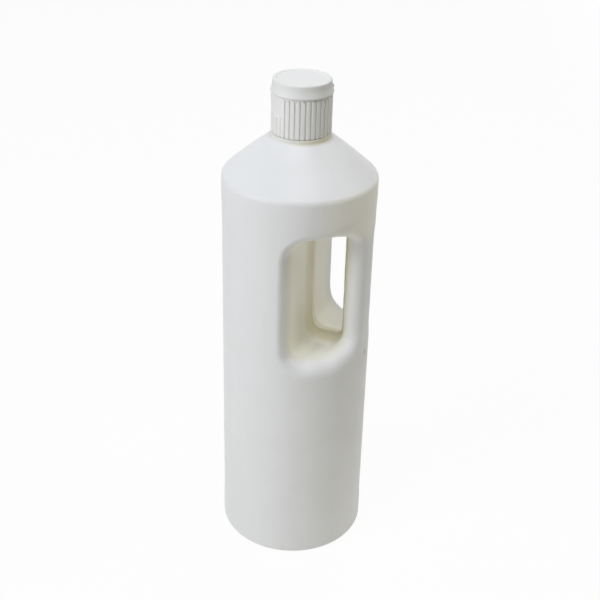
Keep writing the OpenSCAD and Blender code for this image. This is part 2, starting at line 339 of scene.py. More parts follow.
mouldedLook = {
    "white": (0.862, 0.858, 0.838, 1),
    "cloud": (0.848, 0.844, 0.822, 1),
    "cloudSize": 9,
    "cloudShare": (0.35, 0.7),
    "cloudRough": 0.05,
    "roughness": 0.48,
    "ior": 1.49,
    "grainSize": 0.35,
    "grainHeight": 0.008,
    "grainRough": 0.03,
    "ribTone": (0.905, 0.9, 0.875, 1),
    "ribEndZ": (hingeZ - 1.2, hingeZ - 0.8),  # just below the deck
    # painted shade in the grooves between the ribs
    "grooveShadeTone": (0.78, 0.775, 0.75, 1),
    "grooveR": (15.15, 15.5),
    "thumbX": (14.2, 14.5),  # the thumb recess lies past this and has no grooves
}


def mouldedPlastic():
    s = mouldedLook
    look, shader, place = newLook("mouldedPlastic")
    x, y, z, reach = splitPlace(place)
    toThumb = x * np.cos(thumbTurn) + y * np.sin(thumbTurn)
    onSkirt = 1 - z.past(s["ribEndZ"])
    groove = onSkirt * (1 - reach.past(s["grooveR"])) * (1 - toThumb.past(s["thumbX"]))
    cloud = place.noise(s["cloudSize"]).rise(*s["cloudShare"])
    tone = cloud.tint(s["white"], s["cloud"])
    tone = onSkirt.tint(tone, s["ribTone"])
    grain = place.noise(s["grainSize"], 2.0)
    feed(look, shader, {
        # painted shade in the grooves
        "Base Color": groove.tint(tone, s["grooveShadeTone"]),
        "Roughness": s["roughness"] + cloud * s["cloudRough"] + grain * s["grainRough"],
        "Normal": grain.relief(s["grainHeight"]),
        "IOR": s["ior"],
    })
    return look


foamLook = {
    "pale": (0.80, 0.81, 0.81, 1),
    "pore": (0.62, 0.64, 0.65, 1),
    "poreSize": 0.4,
    "poreShare": (0.5, 0.68),
    "poreDepth": 0.08,
    "poreRough": 0.15,
    "roughness": 0.75,
}


def sealFoam():
    s = foamLook
    look, shader, place = newLook("sealFoam")
    pore = place.noise(s["poreSize"], 2.0).rise(*s["poreShare"])
    feed(look, shader, {
        "Base Color": pore.tint(s["pale"], s["pore"]),
        "Roughness": s["roughness"] + pore * s["poreRough"],
        "Normal": (1 - pore).relief(s["poreDepth"]),
    })
    return look


looks = {"blown": blownPlastic(), "moulded": mouldedPlastic(), "foam": sealFoam()}
print("materials made:", ", ".join(looks))


# bottle: one blown skin with its grip hole, outside and inside

bottle = {
    "bandR": 41.12,  # over heel and shoulder bands; the seam line brings it to the full diameter
    "recess": 0.26,
    "heelBand": 13.0,
    "shoulderBand": 7.0,
    "bandRamp": 10.0,
    "bodyH": 221.4,
    "heelR": 4.0,
    "shoulderR": 4.0,
    "shoulderSlope": 42.4,  # at the wall; the shoulder flattens by the turn up to the neck
    "shoulderTurn": 5.0,
    "wall": 1.0,
    "pushUp": 5.0,
    "domeSteps": 16,
    "footIn": 33.6,
    "footEdge": 0.3,
    "ringR": 15.75,
    "ringEdge": 0.25,
    "neckR": 12.6,
    "neckH": 19.0,
    "neckFoot": 0.6,  # fillet on the ring
    "neckStep": 0.25,  # between rows of the thread
    "neckBore": 10.7,
    "neckRoot": 1.6,
    "rimEdge": 0.35,  # roundings of the rim, outside and inside
    "mouthEdge": 0.3,
    "seamH": 0.08,
    "seamW": 0.26,
    "pinchH": 0.5,
    "pinchW": 0.7,
    "pinchEnd": (9.0, 3.0),  # where it fades, inward from the foot
}
grip = {
    "x0": 6.6,
    "x1": 29.15,
    "z0": 128.7,
    "z1": 201.6,
    "cornerR": (7.0, 3.5, 12.5, 10.0),  # by the post low and high, by the body high and low
    "rimPost": 5.75,
    "rimHigh": 4.9,
    "rimBody": 3.4,
    "rimLow": 8.0,
    "rimSoft": 4.5,  # points of the outline over which the rim's path is evened out
    "draft": 2.0,
    "webT": 2.0,
    "weldDeep": 9.0,  # concave run of the weld, along the hole's wall and out of it
    "weldShare": 0.7,  # most of the wall that the weld takes where the wall is short
    "weldSide": 1.6,
    "weldLow": 2.8,
    "punchEdge": ((0.94, 0.10), (0.82, 0.16), (0.4, 0.2), (0, 0.2)),  # shares of half the web, and steps
    "trim": 0.12,  # unevenness of the punched edge, and its waves round the hole with their phases
    "trimWaves": ((7, 0), (13, 1), (29, 2)),
    "patchTurn": (3.0, 90.0),  # the patch of wall round the hole, in degrees from the post
    "patchZ": (118.0, 208.5),
    "across": 44,
    "up": 60,
}
neckThread = {
    "pitch": 4.2333,
    "turns": 1.5,
    "fade": 0.07,
    "startTurn": 0.6,
    "startZ": rimZ - 9.4,
    "height": 1.1,
    "crest": 0.35,
    "base": 1.05,
}


def wallRadius(z):  # panel set in between the heel band and the shoulder band
    low, high = bottle["heelBand"], bottle["bodyH"] - bottle["shoulderBand"]
    panel = smoothStep(low, low + bottle["bandRamp"], z) - smoothStep(high - bottle["bandRamp"], high, z)
    return bottle["bandR"] - bottle["recess"] * panel


def wallRows(z, t):
    return np.stack([wallRadius(z) - t, z], 1)


def domeRows(r, lift):  # pushed-up base, part of a sphere through the foot
    sphere = (bottle["footIn"] ** 2 + bottle["pushUp"] ** 2) / (2 * bottle["pushUp"])
    return np.stack([r, bottle["pushUp"] - sphere + lift + np.sqrt(sphere**2 - r**2)], 1)


def heelRows(t, steps):  # rounding from the foot up to the wall, moved inward by t
    b = bottle
    return arcRow(b["bandR"] - b["heelR"], b["heelR"], b["heelR"] - t, -90, 0, steps)


def shoulderRows(t, steps):  # rounding from the wall up to the cone, moved inward by t
    b = bottle
    low = 90 - b["shoulderSlope"]
    return arcRow(b["bandR"] - b["shoulderR"], b["bodyH"], b["shoulderR"] - t, 0, low, steps)


def coneRows(t, endZ, steps):
    # wide arc that takes over from the shoulder's edge and flattens up to the neck, moved inward by t
    b = bottle
    low = 90 - b["shoulderSlope"]
    edge = shoulderRows(0, 1)[1]
    (highX, _), (lowX, lowZ) = arcRow(0, 0, 1, low + b["shoulderTurn"], low, 1)
    radius = (edge[0] - b["ringR"]) / (lowX - highX)
    centre = edge - radius * np.array([lowX, lowZ])
    end = low + b["shoulderTurn"]
    if endZ is not None:
        end = np.degrees(np.arcsin((endZ - centre[1]) / (radius - t)))
    return arcRow(*centre, radius - t, low, end, steps)[1:]


def outsideProfile():  # (r, z) from the middle of the base up to the rim of the neck
    b = bottle
    z0, z1 = grip["patchZ"]
    ringZ = rimZ - b["neckH"]
    panelHigh = b["bodyH"] - b["shoulderBand"]
    ringEdge, foot, edge = b["ringEdge"], b["neckFoot"], b["rimEdge"]
    cone = coneRows(0, None, 16)
    ringFoot = [[b["ringR"], cone[-1, 1] + rise] for rise in (0.15, 0.8)]
    wallZ = np.concatenate([
        np.linspace(b["heelR"], b["heelBand"], 6)[1:],
        np.linspace(b["heelBand"], b["heelBand"] + b["bandRamp"], 8)[1:],
        np.linspace(b["heelBand"] + b["bandRamp"], z0, 34)[1:],
        np.linspace(z0, z1, grip["up"] + 1)[1:],
        np.linspace(z1, panelHigh, 10)[1:],
        np.linspace(panelHigh, b["bodyH"], 5)[1:-1],
    ])
    return np.concatenate([
        domeRows(np.linspace(0, b["footIn"], b["domeSteps"]), 0),
        [[b["footIn"] + b["footEdge"], 0], [(b["footIn"] + b["bandR"] - b["heelR"]) / 2, 0]],
        heelRows(0, 12),
        wallRows(wallZ, 0),
        shoulderRows(0, 12),
        cone,
        ringFoot,
        arcRow(b["ringR"] - ringEdge, ringZ - ringEdge, ringEdge, 0, 90, 5),
        arcRow(b["neckR"] + foot, ringZ + foot, foot, 270, 180, 6),
        [[b["neckR"], z] for z in np.arange(ringZ + 1.5 * foot, rimZ - 1.5 * edge, b["neckStep"])],
        arcRow(b["neckR"] - edge, rimZ - edge, edge, 0, 90, 5),
    ])


def insideProfile():  # (r, z) from the rim of the neck down to the middle of the base
    b = bottle
    t, edge = b["wall"], b["mouthEdge"]
    z0, z1 = grip["patchZ"]
    rootZ = rimZ - b["neckH"] - b["neckRoot"]
    wallZ = np.concatenate([
        np.linspace(b["bodyH"], z1, 6)[1:],
        np.linspace(z1, z0, grip["up"] // 3 + 1)[1:],
        np.linspace(z0, b["heelR"], 12)[1:-1],
    ])
    return np.concatenate([
        arcRow(b["neckBore"] + edge, rimZ - edge, edge, 90, 180, 4),
        [[b["neckBore"], (rimZ + rootZ) / 2], [b["neckBore"], rootZ]],
        coneRows(t, rootZ, 6)[::-1],
        shoulderRows(t, 6)[::-1],
        wallRows(wallZ, t),
        heelRows(t, 6)[::-1],
        domeRows(np.linspace(b["footIn"], 0, 8), t),
    ])


def bodyTurns():
    # column angles in degrees, close together at the parting plane, in step with the hole's patches
    near, far = grip["patchTurn"]
    close = np.array([0, 0.2, 0.36, 0.55, 0.8, 1.2, 1.7, 2.3])
    half = np.concatenate([
        close,
        np.linspace(near, far, grip["across"] + 1),
        np.linspace(far, 180 - near, grip["across"] + 1)[1:],
        180 - close[::-1],
    ])
    return np.concatenate([-half[:0:-1], half[:-1]])


def besideWindows(profile, turns):  # True for the faces outside the two windows of the grip hole
    keep = np.ones((len(profile) - 1, len(turns)), bool)
    z0, z1 = grip["patchZ"]
    near, far = grip["patchTurn"]
    midZ = (profile[1:, 1] + profile[:-1, 1]) / 2
    midTurn = np.abs((turns + np.roll(turns, -1)) / 2)
    inRows = (midZ > z0) & (midZ < z1)
    inCols = (midTurn > near) & (midTurn < far)
    keep[np.ix_(inRows, inCols)] = False
    return keep


def bodySkin():
    # profile turned about the axis, raised along its normal in a thin line where the mould closes,
    # with two windows left open for the patches of the grip hole
    b = bottle
    outside = outsideProfile()
    profile = np.concatenate([outside, insideProfile()])
    turns = bodyTurns()
    r, z = profile[:, :1], profile[:, 1:]
    theta = np.radians(turns)[None, :]
    step = np.gradient(profile, axis=0)
    normal = np.stack([step[:, 1], -step[:, 0]], 1) / np.linalg.norm(step, axis=1, keepdims=True)
    row = np.arange(len(profile))[:, None]
    isOut = row < len(outside)
    onWall = isOut & (z > b["heelR"] * 0.7) & (z < b["bodyH"]) & (r > b["footIn"])
    onCone = isOut & (z >= b["bodyH"]) & (r > b["ringR"] + 1)
    onNeck = isOut & (np.abs(r - b["neckR"]) < 0.01) & (z > rimZ - b["neckH"])
    onBase = (row < b["domeSteps"]) * (1 - smoothStep(*(b["footIn"] - end for end in b["pinchEnd"]), r))
    fromSeam = np.abs(r * np.sin(theta))
    raised = b["seamH"] * np.exp(-((fromSeam / b["seamW"]) ** 2)) * (onWall | onCone)
    raised = raised + b["pinchH"] * np.exp(-((fromSeam / b["pinchW"]) ** 4)) * onBase
    thread = helixRidge(theta, z, neckThread) * neckThread["height"] * onNeck
    points = turnProfile(r + raised * normal[:, :1] + thread, z + raised * normal[:, 1:], theta)
    return points, gridQuads(len(profile), len(turns), wrapCols=True, keep=besideWindows(profile, turns))


def gripOutline(up, across):
    # rounded rectangle in the parting plane, side by side, each from the middle of one corner
    # to the next: columns x, z and the outward direction
    g = grip
    radii = np.array(g["cornerR"])
    corners = np.array([[g["x1"], g["z0"]], [g["x1"], g["z1"]], [g["x0"], g["z1"]], [g["x0"], g["z0"]]])
    centres = corners + radii[:, None] * [[-1, 1], [-1, -1], [1, -1], [1, 1]]
    sides = []
    for k, count in enumerate((up, across, up, across)):
        r0, r1 = radii[k], radii[(k + 1) % 4]
        c0, c1 = centres[k], centres[(k + 1) % 4]
        turn = k * np.pi / 2
        way = np.array([-np.sin(turn), np.cos(turn)])
        bend0, straight, bend1 = r0 * np.pi / 4, (c1 - c0) @ way, r1 * np.pi / 4
        s = np.arange(count) / count * (bend0 + straight + bend1)
        angle = turn + np.minimum(s - bend0, 0) / r0 + np.maximum(s - bend0 - straight, 0) / r1
        first = (s < bend0 + straight)[:, None]
        along = np.clip(s - bend0, 0, straight)[:, None]
        out = np.stack([np.cos(angle), np.sin(angle)], 1)
        sides.append(np.hstack([np.where(first, c0 + along * way + r0 * out, c1 + r1 * out), out]))
    return np.concatenate(sides)


def evenOut(values, width):  # running bell-shaped mean along a closed row
    reach = int(np.ceil(3 * width))
    bell = np.exp(-((np.arange(-reach, reach + 1) / width) ** 2))
    loop = np.concatenate([values[-reach:], values, values[:reach]])
    return np.convolve(loop, bell / bell.sum(), "valid")


def windowEdge(up, across):  # angle and height along a window's edge, in step with the hole's outline
    near, far = np.radians(grip["patchTurn"])
    low, high = grip["patchZ"]
    corners = [(near, low), (near, high), (far, high), (far, low), (near, low)]
    sides = zip(corners, corners[1:], (up, across, up, across))
    return np.concatenate([np.linspace(*side, endpoint=False) for side in sides]).T


def weldRows(wallPoints, edgeY, toFloor):
    # down the hole's wall, out of it by a quarter of an ellipse, then over the web's punched edge
    g = grip
    halfWeb = g["webT"] / 2
    deep = np.minimum(g["weldDeep"], (edgeY - halfWeb) * g["weldShare"])
    weldY = halfWeb + deep
    weldIn = g["weldSide"] + (g["weldLow"] - g["weldSide"]) * toFloor
    rows = [wallPoints(edgeY + (weldY - edgeY) * v, 0) for v in np.linspace(0, 1, 11)[1:]]
    for a in np.radians(np.linspace(0, 90, 13)[1:]):
        rows.append(wallPoints(weldY - deep * np.sin(a), weldIn * (1 - np.cos(a))))
    run = np.linspace(0, 2 * np.pi, len(edgeY), endpoint=False)
    trim = g["trim"] * np.mean([np.sin(count * run + phase) for count, phase in g["trimWaves"]], 0)
    return rows + [wallPoints(share * halfWeb, weldIn + inset + trim) for share, inset in g["punchEdge"]]


def gripPatch(t, up, across):
    # half of the grip hole on the +Y side, moved into the wall by t, row by row: the patch of wall,
    # the rim as a ball rolling between the bottle's wall and the hole's, the drafted wall and,
    # on the outside, the weld
    g = grip
    panelR = wallRadius(np.array(g["patchZ"][0]))
    x, z, nx, nz = gripOutline(up, across).T
    toPost, toBody, toTop, toFloor = (np.maximum(0, way) ** 2 for way in (nx, -nx, nz, -nz))
    ball = g["rimPost"] * toPost + g["rimBody"] * toBody + g["rimHigh"] * toTop + g["rimLow"] * toFloor
    cx = x + ball * nx
    cy = evenOut(np.sqrt((panelR - ball) ** 2 - cx**2), g["rimSoft"] * up / g["up"])
    ball = panelR - np.hypot(cx, cy)
    centre = np.stack([cx, cy, z + ball * nz], 1)
    draft = np.radians(g["draft"])
    toWall = np.stack([-nx * np.cos(draft), nx * 0 + np.sin(draft), -nz * np.cos(draft)], 1)
    toSkin = np.stack([cx, cy, cx * 0], 1) / np.hypot(cx, cy)[:, None]

    windowTurn, windowZ = windowEdge(up, across)
    f = np.linspace(0, 1, 7)[:, None]
    patchTurn = windowTurn + (np.arctan2(cy, cx) - windowTurn) * f
    patchZ = windowZ + (centre[:, 2] - windowZ) * f
    patch = turnProfile(wallRadius(patchZ) - t, patchZ, patchTurn).reshape(len(f), -1, 3)

    w = np.arccos(np.sum(toWall * toSkin, 1))[:, None]
    s = np.linspace(1, 0, 17)[1:, None, None]
    way = (toWall * np.sin((1 - s) * w) + toSkin * np.sin(s * w)) / np.sin(w)
    rim = centre + (ball[:, None] - t) * way
    edgeX, edgeY, edgeZ = rim[-1].T

    def wallPoints(y, inset):  # on the hole's wall at the distance y from the parting plane
        q = (edgeY - y) * np.tan(draft) + inset
        return np.stack([edgeX - nx * q, y + q * 0, edgeZ - nz * q], -1)

    if t > 0:
        rows = [wallPoints(edgeY * (1 - v), 0) for v in np.linspace(0, 1, 4)[1:]]
    else:
        rows = weldRows(wallPoints, edgeY, toFloor)
    return np.concatenate([patch, rim, rows])


def gripSkins():  # the hole's two halves, mirrored in the parting plane, outside and inside
    patches = []
    for t, up in ((0, grip["up"]), (bottle["wall"], grip["up"] // 3)):
        rows = gripPatch(t, up, grip["across"])
        quads = gridQuads(*rows.shape[:2], wrapCols=True)
        back = rows.reshape(-1, 3)
        front = back * (1, -1, 1)
        flipped = quads[:, ::-1]
        patches += [(front, flipped if t else quads), (back, quads if t else flipped)]
    return patches


def makeBottle():
    piece = addPiece("bottleSkin", [bodySkin()] + gripSkins(), looks["blown"], crease=60)
    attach(piece, "bottle")
    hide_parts("bottle")


makeBottle()


# cap: ribbed skirt with its deck and spout

cap = {
    "coreR": 15.1,
    "boreR": 14.1,
    "ribs": 36,
    "ribDepth": 0.55,
    "grooveFloor": 0.28,  # half widths of a groove at its floor and at its mouth
    "grooveMouth": 0.53,
    "ribCrown": 0.05,
    "ribTop": 0.7,  # below the deck
    "ribEndRound": 0.5,
    "footBevel": 0.33,
    "deckT": 1.0,
    "deckEdge": 0.25,
    "lidGap": 0.2,
    "thumbDepth": 0.95,
    "thumbH": 10.6,
    "thumbR": 2.0,
    "thumbLedge": 0.25,
    "hingeW": 7.0,
    "padX": 16.5,
    "padH": 6.0,
    "padSoft": 0.3,
    "spoutR": 4.2,
    "spoutTopR": 3.87,
    "spoutRound": 0.35,
    "spoutFoot": 0.5,
    "orificeR": 2.6,
    "orificeEdge": 0.2,
    "boreCorner": 0.4,
    "boreMouth": 0.25,
    "threadHeight": 1.15,
    "threadStep": 0.32,  # between rows of the thread
    "threadEnds": (1.0, 0.6),  # below the deck and above the skirt's foot
}
capThread = dict(neckThread, crest=0.3, base=0.95, startZ=neckThread["startZ"] - neckThread["pitch"] / 2)
deckZ = hingeZ - cap["lidGap"] / 2
lidZ = hingeZ + cap["lidGap"] / 2


def padRadius(r, theta, face):
    # a flat pad, square to the hinge's direction, that stands out of the radius r up to its face
    aside = wrapAngle(theta - hingeTurn)
    facing = np.maximum(np.cos(aside), 0.5)  # no further round than 60 degrees from the hinge
    across = np.abs(face * np.sin(aside) / facing)
    halfW = cap["hingeW"] / 2
    side = 1 - smoothStep(halfW - cap["padSoft"], halfW, across)
    side = side * (np.cos(aside) > 0.5)
    return r + np.maximum(face / facing - r, 0) * side


def ribRadius(theta, z):
    # core plus broad, slightly crowned ribs with narrow grooves between, rounded over at their upper ends
    c = cap
    pitch = 2 * np.pi / c["ribs"] * (c["coreR"] + c["ribDepth"])
    fromRib = np.abs(wrapAngle((theta - thumbTurn) * c["ribs"])) / (2 * np.pi) * pitch
    full = smoothStep(c["grooveFloor"], c["grooveMouth"], pitch / 2 - fromRib)
    halfRib = pitch / 2 - c["grooveFloor"]
    drop = c["ribEndRound"] * np.clip(fromRib / halfRib, 0, 1) ** 4
    left = np.clip((deckZ - c["ribTop"] - drop - z) / c["ribDepth"], 0, 1)
    rib = c["ribDepth"] * np.sqrt(1 - (1 - left) ** 2) - c["ribCrown"] * (fromRib / halfRib) ** 2
    return c["coreR"] + full * rib


def skirtRadius(theta, z):
    # ribs, cut flat in the thumb recess with its round lower corners, plus the hinge pad
    c = cap
    r = ribRadius(theta, z)
    capR = c["coreR"] + c["ribDepth"]
    aside = wrapAngle(theta - thumbTurn)
    facing = np.maximum(np.cos(aside), 0.2)
    flatX = capR - c["thumbDepth"]
    across = np.abs(flatX * np.sin(aside) / facing)
    halfW = np.sqrt(capR**2 - flatX**2)
    corner = np.clip(across - halfW + c["thumbR"], 0, c["thumbR"])
    low = deckZ - c["thumbH"] + c["thumbR"] - np.sqrt(c["thumbR"] ** 2 - corner**2)
    cut = smoothStep(low - c["thumbLedge"], low + c["thumbLedge"], z)
    r = r + (np.minimum(r, flatX / facing) - r) * cut
    reach = np.clip(z - (deckZ - c["padH"]), 0, c["padX"] - c["coreR"])
    return padRadius(r, theta, c["coreR"] + reach)


def capTurns():  # columns in step with the ribs, close together in the grooves
    c = cap
    capR = c["coreR"] + c["ribDepth"]
    half = np.array([0, 0.1, 0.2, 0.3, 0.4, 0.5, 0.64, 0.9]) / capR
    one = np.concatenate([-half[:0:-1], half, [np.pi / c["ribs"]]])
    groove = thumbTurn + (np.arange(c["ribs"]) + 0.5) * 2 * np.pi / c["ribs"]
    return (groove[:, None] + one).reshape(-1)


def spreadRows(rows, theta):  # radius and height of every row at every column
    plain = np.ones_like(theta)
    return np.array([plain * r for r, _ in rows]), np.array([plain * z for _, z in rows])


def spoutProfile():  # (r, z) over the spout, down its orifice, under the deck and into the bore
    c = cap
    underZ = deckZ - c["deckT"]
    foot, top, edge, corner = c["spoutFoot"], c["spoutRound"], c["orificeEdge"], c["boreCorner"]
    return np.concatenate([
        arcRow(c["spoutR"] + foot, deckZ + foot, foot, 270, 180, 5),
        arcRow(c["spoutTopR"] - top, spoutZ - top, top, 0, 90, 5),
        arcRow(c["orificeR"] + edge, spoutZ - edge, edge, 90, 180, 3),
        [[c["orificeR"], deckZ], [c["orificeR"], underZ + edge], [c["orificeR"] + edge, underZ]],
        [[c["spoutR"], underZ], [c["boreR"] - 5 * corner, underZ], [c["boreR"] - corner, underZ]],
        [[c["boreR"], underZ - corner]],
    ])


def capRows(theta):
    # closed loop of rows: up the ribs, over the deck and spout, down the orifice and the threaded bore;
    # they are close together at the recess's ledge, the pad's foot and the ribs' ends
    c = cap
    bevel, edge = c["footBevel"], c["deckEdge"]
    ledgeZ, padZ, underZ = deckZ - c["thumbH"], deckZ - c["padH"], deckZ - c["deckT"]
    wallZ = np.concatenate([
        np.linspace(skirtZ + bevel, ledgeZ - 0.4, 8),
        np.linspace(ledgeZ - 0.3, ledgeZ + 0.4, 9),
        np.linspace(ledgeZ + 0.6, ledgeZ + 2.3, 9),
        np.linspace(padZ - 1, padZ + 1.5, 8),
        np.linspace(padZ + 2, deckZ - 2.2, 4),
        np.linspace(deckZ - 2.0, deckZ - 0.9, 14),
        [deckZ - 0.6, deckZ - edge],
    ])
    footR = skirtRadius(theta, skirtZ + bevel)
    topR = skirtRadius(theta, deckZ)
    spoutR = c["spoutR"] + 1.2 * c["spoutFoot"]
    rows = [(c["boreR"] + c["boreMouth"], skirtZ), ((c["boreR"] + c["coreR"]) / 2, skirtZ)]
    for a in np.radians([90, 65, 40, 15]):
        rows.append((footR - bevel * (1 - np.cos(a)), skirtZ + bevel * (1 - np.sin(a))))
    rows += [(skirtRadius(theta, z), z) for z in wallZ]
    for a in np.radians([22, 45, 67, 90]):
        rows.append((topR - edge * (1 - np.cos(a)), deckZ - edge + edge * np.sin(a)))
    rows += [((topR - edge) * (1 - s) + spoutR * s, deckZ) for s in (0.3, 0.7, 0.97, 1.0)]
    rows += spoutProfile().tolist()
    below, above = c["threadEnds"]
    for z in np.arange(underZ - below, skirtZ + above, -c["threadStep"]):
        ridge = helixRidge(wrapAngle(theta), z, capThread)
        rows.append((c["boreR"] - c["threadHeight"] * ridge, z))
    rows.append((c["boreR"], skirtZ + c["boreMouth"]))
    return spreadRows(rows, theta)


def makeCap():
    theta = capTurns()
    r, z = capRows(theta)
    quads = gridQuads(*r.shape, wrapRows=True, wrapCols=True)
    piece = addPiece("capSkirt", [(turnProfile(r, z, theta), quads)], looks["moulded"])
    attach(piece, "cap")
    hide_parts("cap_base")


makeCap()


# lid: low flip lid with a dished top and a plug

lid = {
    "lowR": 16.15,
    "topR": 15.05,
    "wall": 1.2,
    "lipOut": 0.7,  # how far the lip at the foot flares out of the side, and its height
    "lipH": 4.2,
    "lipCurve": 1.5,
    "lipRound": 0.6,
    "mouthRound": 0.2,
    "insideRound": 0.5,
    "padH": 3.6,
    "padSpan": (-0.03, 0.006),  # radians by the pad's edges with closer columns, and room for them
    "padRoom": 0.03,
    "columns": 240,
    "edgeRound": 0.8,
    "rimW": 1.0,
    "dishDepth": 0.35,
    "dishRound": 1.2,
    "dishFoot": 0.25,
    "plugR": 2.1,
    "plugTip": 1.05,
    "plugTaper": 0.5,
    "plugNose": 0.3,
    "plugDepth": 2.4,
}


def lidRadius(theta, r, z):  # the lid's side, with the pad that carries the hinge
    slopeZ = lidZ + lid["padH"]
    if z >= slopeZ:
        return r
    return padRadius(r, theta, min(cap["padX"], lid["topR"] + slopeZ - z))


def lidInside():  # (r, z) from the plug's tip up to the ceiling and down to the mouth
    d = lid
    ceilingZ = lidTopZ - d["dishDepth"] - d["wall"]
    plugZ = spoutZ - d["plugDepth"]
    inR = d["topR"] - d["wall"]
    plugR, nose, turn, mouth = d["plugR"], d["plugNose"], d["insideRound"], d["mouthRound"]
    return np.concatenate([
        [[0, plugZ], [plugR - 2 * nose, plugZ]],
        arcRow(plugR - d["plugTaper"], plugZ + nose, nose, 270, 340, 4),
        [[plugR, plugZ + d["plugTip"]], [plugR, ceilingZ - turn]],
        arcRow(plugR + turn, ceilingZ - turn, turn, 180, 90, 4),
        [[inR * 0.5, ceilingZ], [inR - 1.6 * turn, ceilingZ]],
        arcRow(inR - turn, ceilingZ - turn, turn, 90, 0, 4),
        [[inR, lidZ + 1.5 * mouth]],
        arcRow(inR + mouth, lidZ + mouth, mouth, 180, 270, 3),
    ])


def lidTop():  # (r, z) over the rim and into the dish
    d = lid
    edge, turn = d["edgeRound"], d["dishRound"]
    dishR = d["topR"] - edge - d["rimW"]
    dishZ = lidTopZ - d["dishDepth"]
    return np.concatenate([
        arcRow(d["topR"] - edge, lidTopZ - edge, edge, 0, 90, 9),
        arcRow(dishR + d["dishDepth"], lidTopZ - turn, turn, 90, 135, 4)[1:],
        arcRow(dishR - d["dishFoot"], dishZ + turn, turn, 315, 270, 4),
        [[dishR * s, dishZ] for s in (0.85, 0.6, 0.3, 0)],
    ])


def lidRows(theta):
    # rows from the plug's tip to the mouth, round the flared lip, up the tapered side and over the top
    d = lid
    lip = d["lipRound"]
    low, high = lidZ + lip, lidTopZ - d["edgeRound"]
    sideR = d["lowR"] - d["lipOut"]
    rows = lidInside().tolist()
    for r, z in arcRow(d["lowR"] - lip, low, lip, -90, 0, 7):
        rows.append((lidRadius(theta, r, z), z))
    for z in np.linspace(low, high, 22)[1:-1]:
        taper = (sideR - d["topR"]) * (z - low) / (high - low)
        flare = d["lipOut"] * np.clip(1 - (z - low) / (d["lipH"] - lip), 0, 1) ** d["lipCurve"]
        rows.append((lidRadius(theta, sideR - taper + flare, z), z))
    return spreadRows(rows + lidTop().tolist(), theta)


def lidTurns():  # columns all round, closer together by the two edges of the hinge pad
    d = lid
    padEdge = np.arctan2(cap["hingeW"] / 2, cap["padX"])
    closeBy = np.linspace(*d["padSpan"], 7)
    theta = np.linspace(-np.pi, np.pi, d["columns"], endpoint=False)
    theta = theta[np.abs(np.abs(theta) - padEdge - closeBy.mean()) > d["padRoom"]]
    return np.sort(np.concatenate([theta, padEdge + closeBy, -padEdge - closeBy])) + hingeTurn


def makeLid():
    theta = lidTurns()
    r, z = lidRows(theta)
    quads = gridQuads(*r.shape, wrapCols=True)
    piece = addPiece("lidShell", [(turnProfile(r, z, theta), quads)], looks["moulded"])
    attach(piece, "lid")
    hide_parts("cap_lid")


makeLid()


# living hinge: a thin strap, thinnest on the line where it folds

strap = {
    "thick": 0.4,
    "fold": 0.2,  # thickness on the line where it folds
    "foldFlat": 0.1,
    "foldHalf": 0.5,
    "steps": 37,
    "across": 13,
}


def makeStrap():
    # the section's outer and inner faces, carried across the hinge's width
    h = np.linspace(strapLowZ, strapHighZ, strap["steps"])
    full = smoothStep(strap["foldFlat"], strap["foldHalf"], np.abs(h - hingeZ))
    thick = strap["fold"] + (strap["thick"] - strap["fold"]) * full
    section = np.concatenate([
        np.stack([cap["padX"] + thick, h], 1),
        np.stack([cap["padX"] + h * 0, h], 1)[::-1],
    ])
    across = np.linspace(-cap["hingeW"] / 2, cap["hingeW"] / 2, strap["across"])
    out = np.array([np.cos(hingeTurn), np.sin(hingeTurn)])
    aside = np.array([-np.sin(hingeTurn), np.cos(hingeTurn)])
    flat = section[:, None, :1] * out + across[None, :, None] * aside
    height = np.broadcast_to(section[:, None, 1:], flat.shape[:2] + (1,))
    points = np.concatenate([flat, height], 2)
    sides = gridQuads(*points.shape[:2], wrapRows=True)
    n, m = len(h), len(across)
    i = np.arange(n - 1)
    ends = np.stack([i, i + 1, 2 * n - 2 - i, 2 * n - 1 - i], 1) * m
    quads = np.concatenate([sides, ends[:, ::-1], ends + m - 1])
    piece = addPiece("hingeFold", [(points.reshape(-1, 3), quads)], looks["moulded"])
    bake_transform(piece)
    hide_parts("hinge_strap")


makeStrap()

# seal: the washer keeps its solid
seal = frame["nodes"]["seal_washer"]
seal.data.materials.clear()
seal.data.materials.append(looks["foam"])
print("pieces made")


# stage: white floor, soft light from the upper left, camera at the photo's angle

studio = {
    "floorSize": 6.0,
    "floorTone": (0.90, 0.88, 0.84, 1),
    "farTone": (0.12, 0.12, 0.12, 1),  # to the right, beyond the white sheet that the bottle stands on
    "sheetEdge": (0.2, 0.6),
    "floorGlow": 0.95,  # share of plain white that a straight look at the sheet gets
    "skyTone": (1.0, 0.95, 0.6, 1),
    "skyPower": 0.13,
    "coolTone": (0.87, 0.905, 1.0),
    "plainTone": (0.95, 0.935, 0.93),
    "lampReach": 1.8,
    "aim": (0, 0, 0.14),
}
# lamps by their direction: degrees right of the camera and above the floor, then watts, size and tone
lamps = {
    "keyLamp": (-60, 20, 9.5, 0.6, "coolTone"),
    "frontLamp": (-45, 42, 6.4, 0.6, "coolTone"),
    "topLamp": (0, 78, 10.6, 0.7, "coolTone"),
    "backLamp": (160, 55, 6.6, 0.7, "coolTone"),
    "rightLamp": (95, 40, 5.3, 0.7, "plainTone"),
}
lens = {
    "distance": 0.542,  # from the bottle's axis
    "height": 0.44762,
    "turn": -70.0,
    "yaw": 0.189,
    "pitch": 29.004,
    "roll": 1.579,
    "focal": 67.10,  # millimetres, like the sensor
    "sensor": 36.0,
}


